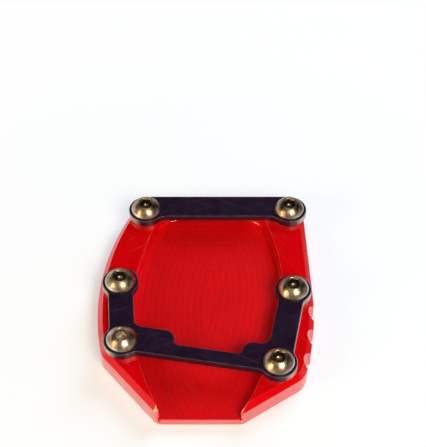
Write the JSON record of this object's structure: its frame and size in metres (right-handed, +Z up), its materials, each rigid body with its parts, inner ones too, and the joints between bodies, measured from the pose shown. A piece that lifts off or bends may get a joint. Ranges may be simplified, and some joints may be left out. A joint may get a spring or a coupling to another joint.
{
  "type": "kickstand foot enlarger",
  "caption": "Flat anodised plate with a front-opening pocket, a straight rear clamp and a U-shaped front clamp held by button-head screws, which widens the foot of a motorbike side stand.",
  "frame": {"origin": "centre of the plate's outline, on its underside", "axes": "+Z up from the ground, +Y along the plate to the rear clamp, with the pocket's mouth on the -Y side, +X to the side with the notches"},
  "size_m": [0.0734, 0.0908, 0.0138],
  "materials": {
    "red_anodised": "satin red anodised",
    "black_anodised": "satin black anodised",
    "stainless_steel": "polished"
  },
  "bodies": {
    "root": {"base_plate": "red_anodised", "rear_clamp": "black_anodised", "front_clamp": "black_anodised", "clamp_screws": "stainless_steel"}
  },
  "joints": []
}
